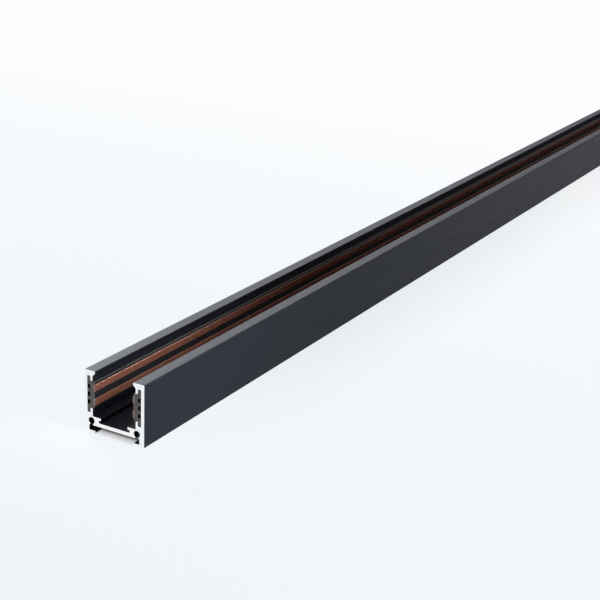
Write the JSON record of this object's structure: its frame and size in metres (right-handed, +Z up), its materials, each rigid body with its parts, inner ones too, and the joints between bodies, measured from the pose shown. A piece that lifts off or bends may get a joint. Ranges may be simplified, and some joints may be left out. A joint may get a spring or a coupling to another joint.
{
  "type": "power track rail",
  "caption": "Straight lighting track: a black finished aluminium channel whose wall pockets hold plastic strips with copper conductor bars, with screw ports in the ends and a clip groove below.",
  "frame": {"origin": "middle of the underside, halfway along the rail, level with the feet", "axes": "+X across the rail, +Y along the rail, +Z up out of the open side"},
  "size_m": [0.036, 1, 0.033],
  "materials": {
    "rail_finish": "satin black, with bare bright sawn ends",
    "insulator_plastic": "matte dark grey extruded plastic",
    "conductor_copper": "drawn copper, slightly dulled"
  },
  "bodies": {
    "root": {"rail_profile": "rail_finish", "insulator_left": "insulator_plastic", "insulator_right": "insulator_plastic", "conductor_left_upper": "conductor_copper", "conductor_left_lower": "conductor_copper", "conductor_right_upper": "conductor_copper", "conductor_right_lower": "conductor_copper"}
  },
  "joints": []
}
